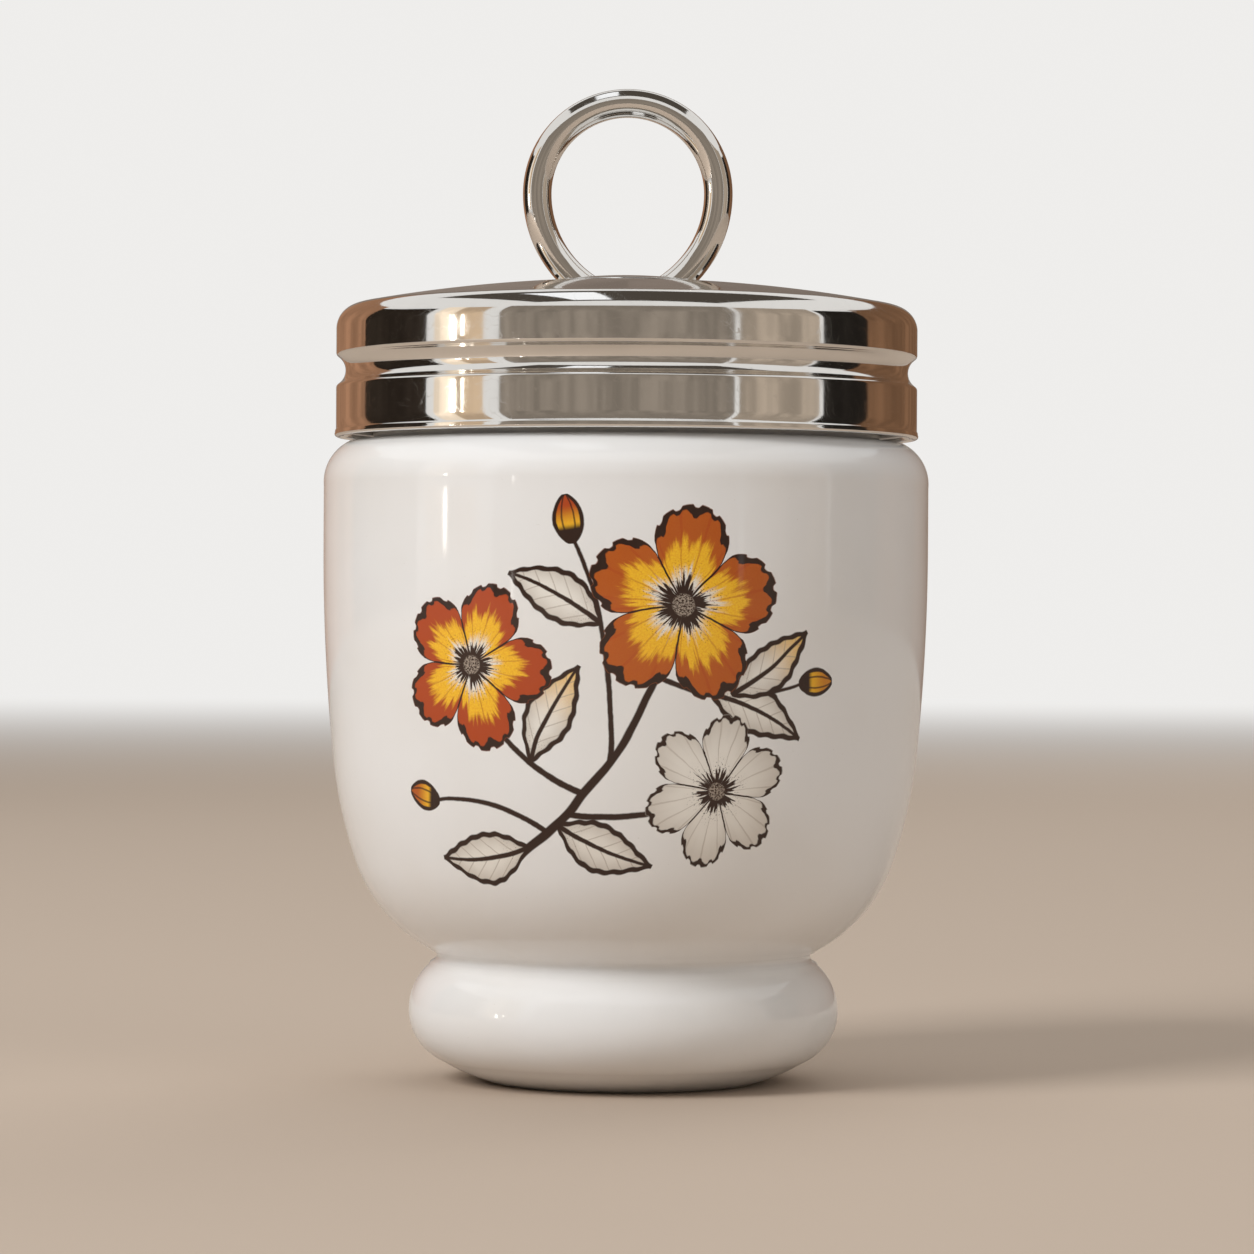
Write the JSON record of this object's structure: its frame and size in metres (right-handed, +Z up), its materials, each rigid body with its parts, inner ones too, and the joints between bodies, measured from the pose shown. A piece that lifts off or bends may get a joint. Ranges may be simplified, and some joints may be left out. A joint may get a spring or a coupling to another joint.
{
  "type": "egg coddler",
  "caption": "Porcelain egg coddler: a straight-sided glazed cup on a bulging foot, closed by a polished metal screw lid with an upright lifting ring.",
  "frame": {"origin": "on the cup's axis, at the surface that the foot stands on", "axes": "+Z up along the cup's axis; +X and +Z hold the lifting ring's plane; -Y is the printed front"},
  "size_m": [0.062, 0.062, 0.1018],
  "materials": {
    "porcelain": "gloss glaze over white porcelain, printed",
    "polished_lid": "polished plate",
    "liner_metal": "satin",
    "seal_rubber": "matt moulded silicone rubber",
    "polished_fittings": "polished plate"
  },
  "bodies": {
    "cup": {"cup": "porcelain"},
    "seal": {"lid_seal": "seal_rubber"},
    "lid": {"lid_shell": "polished_lid", "thread_liner": "liner_metal", "ring_boss": "polished_fittings", "lifting_ring": "polished_fittings", "boss_washer": "liner_metal", "boss_nut": "liner_metal"}
  },
  "joints": [
    {"name": "lid_rise", "type": "slide", "parent": "cup", "child": "seal", "axis": [0, 0, 1], "range_m": [0, 0.016]},
    {"name": "lid_turn", "type": "hinge", "parent": "seal", "child": "lid", "pos_m": [0, 0, 0.0659], "axis": [0, 0, 1], "range_deg": [0, 1440]}
  ],
  "couplings": [
    {"joint": "lid_rise", "follows": "lid_turn", "m_per_rad": 0.00063662}
  ]
}
